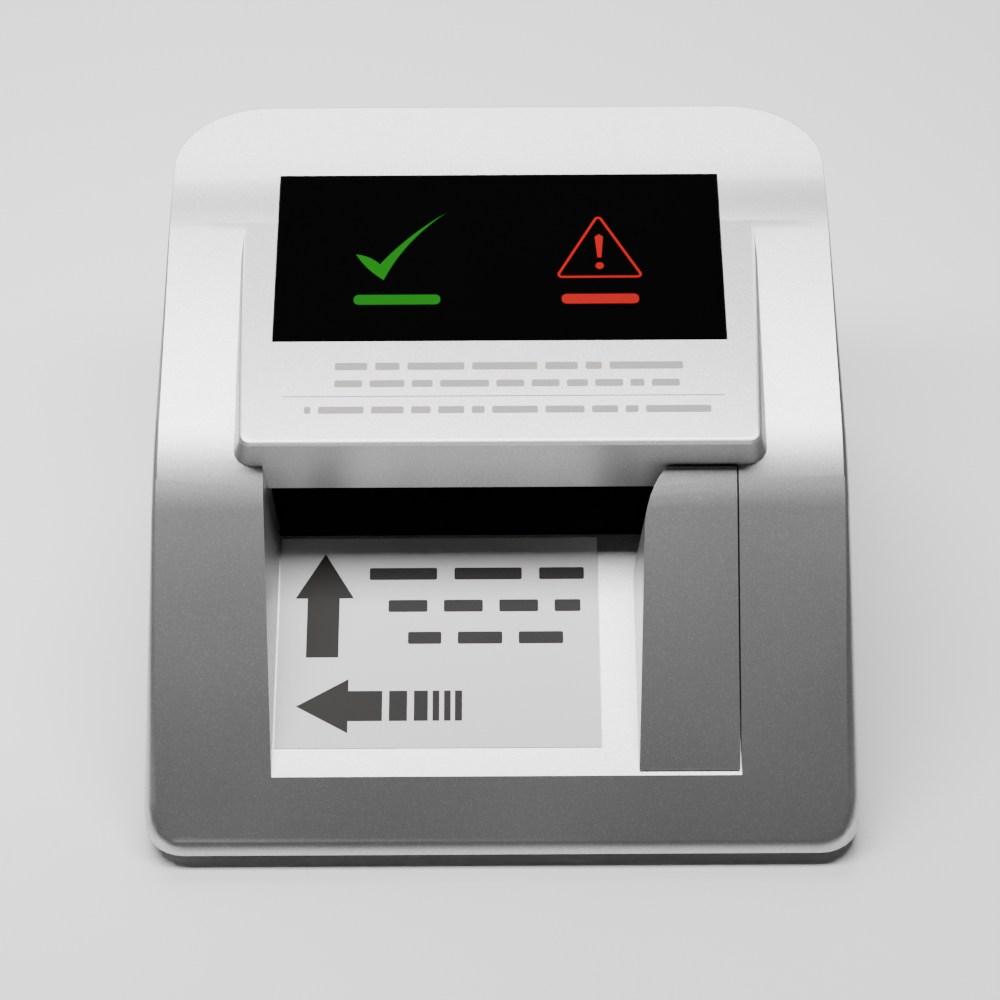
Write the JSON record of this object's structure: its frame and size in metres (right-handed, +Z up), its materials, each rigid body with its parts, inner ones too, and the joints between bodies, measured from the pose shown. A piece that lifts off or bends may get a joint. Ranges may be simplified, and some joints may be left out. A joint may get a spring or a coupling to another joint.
{
  "type": "counterfeit bill detector",
  "caption": "Desk counterfeit bill detector: silver wedge case with a bill tray, dark pass or fail display, clip-in width guide and a motor-driven roller path from tray to rear slot.",
  "frame": {"origin": "on the table, under the middle of the case", "axes": "+X to the right as the user faces it, +Y to the back, +Z up"},
  "size_m": [0.1368, 0.141, 0.075],
  "materials": {
    "silver_paint": "silver metallic paint over moulded ABS, fine orange peel",
    "dark_plastic": "fine moulded grain",
    "black_plastic": "satin black moulding",
    "smoked_acrylic": "polished smoked acrylic",
    "clear_acrylic": "polished clear acrylic",
    "white_plastic": "satin white",
    "label_film": "semi-gloss printed film",
    "circuit_board": "green solder mask",
    "steel": "zinc plated or ground steel",
    "rubber": "matte rubber",
    "nylon": "natural nylon",
    "sintered_bronze": "oiled sintered bronze"
  },
  "bodies": {
    "housing": {"base_shell": "dark_plastic", "board_screw_front": "steel", "board_screw_rear": "steel", "buzzer": "black_plastic", "case_screw_front_left": "steel", "case_screw_front_right": "steel", "case_screw_rear_left": "steel", "case_screw_rear_right": "steel", "display_board": "circuit_board", "display_cable": "white_plastic", "display_light_box": "white_plastic", "display_window": "smoked_acrylic", "drive_belt": "rubber", "drive_motor": "steel", "encoder_sensor": "black_plastic", "entry_sensor": "black_plastic", "foot_front_left": "rubber", "foot_front_right": "rubber", "foot_rear_left": "rubber", "foot_rear_right": "rubber", "front_bush_left": "sintered_bronze", "front_bush_right": "sintered_bronze", "front_idler_spring": "steel", "left_side_frame": "steel", "lower_guide_plate": "black_plastic", "lower_sensor_board": "circuit_board", "lower_sensor_glass": "clear_acrylic", "magnetic_head": "steel", "main_board": "circuit_board", "power_jack": "black_plastic", "rear_bush_left": "sintered_bronze", "rear_bush_right": "sintered_bronze", "rear_idler_spring": "steel", "right_side_frame": "steel", "switch_housing": "black_plastic", "top_cover": "silver_paint", "tray_label": "label_film", "update_port": "steel", "upper_guide_plate": "black_plastic", "upper_sensor_board": "circuit_board", "upper_sensor_glass": "clear_acrylic"},
    "front_drive": {"front_drive_shaft": "steel", "front_roller_left": "rubber", "front_roller_right": "rubber", "drive_gear": "nylon", "front_belt_pulley": "nylon"},
    "rear_drive": {"rear_drive_shaft": "steel", "rear_roller_left": "rubber", "rear_roller_right": "rubber", "rear_belt_pulley": "nylon", "encoder_disc": "black_plastic"},
    "motor_rotor": {"motor_shaft": "steel", "motor_pinion": "sintered_bronze"},
    "front_idler": {"front_idler": "nylon"},
    "rear_idler": {"rear_idler": "nylon"},
    "power_rocker": {"power_rocker": "black_plastic"},
    "width_guide": {"width_guide": "silver_paint"}
  },
  "joints": [
    {"name": "front_drive_spin", "type": "hinge", "parent": "housing", "child": "front_drive", "pos_m": [0, 0.0151, 0.03042], "axis": [1, 0, 0], "continuous": true},
    {"name": "rear_drive_spin", "type": "hinge", "parent": "housing", "child": "rear_drive", "pos_m": [0, 0.05138, 0.04172], "axis": [1, 0, 0], "continuous": true},
    {"name": "motor_spin", "type": "hinge", "parent": "housing", "child": "motor_rotor", "pos_m": [0, 0.03406, 0.01902], "axis": [1, 0, 0], "continuous": true},
    {"name": "front_idler_spin", "type": "hinge", "parent": "housing", "child": "front_idler", "pos_m": [0, 0.01144, 0.04216], "axis": [1, 0, 0], "continuous": true},
    {"name": "rear_idler_spin", "type": "hinge", "parent": "housing", "child": "rear_idler", "pos_m": [0, 0.04772, 0.05346], "axis": [1, 0, 0], "continuous": true},
    {"name": "power_rocker_tilt", "type": "hinge", "parent": "housing", "child": "power_rocker", "pos_m": [0.036, 0.0658, 0.017], "axis": [0, 0, 1], "range_deg": [0, 16]},
    {"name": "width_guide_lift", "type": "slide", "parent": "housing", "child": "width_guide", "axis": [0, -0.2215, 0.9751], "range_m": [0, 0.03]}
  ],
  "couplings": [
    {"joint": "rear_drive_spin", "follows": "front_drive_spin", "ratio": 1},
    {"joint": "motor_spin", "follows": "front_drive_spin", "ratio": -3.5833},
    {"joint": "front_idler_spin", "follows": "front_drive_spin", "ratio": -1.4},
    {"joint": "rear_idler_spin", "follows": "front_drive_spin", "ratio": -1.4}
  ]
}
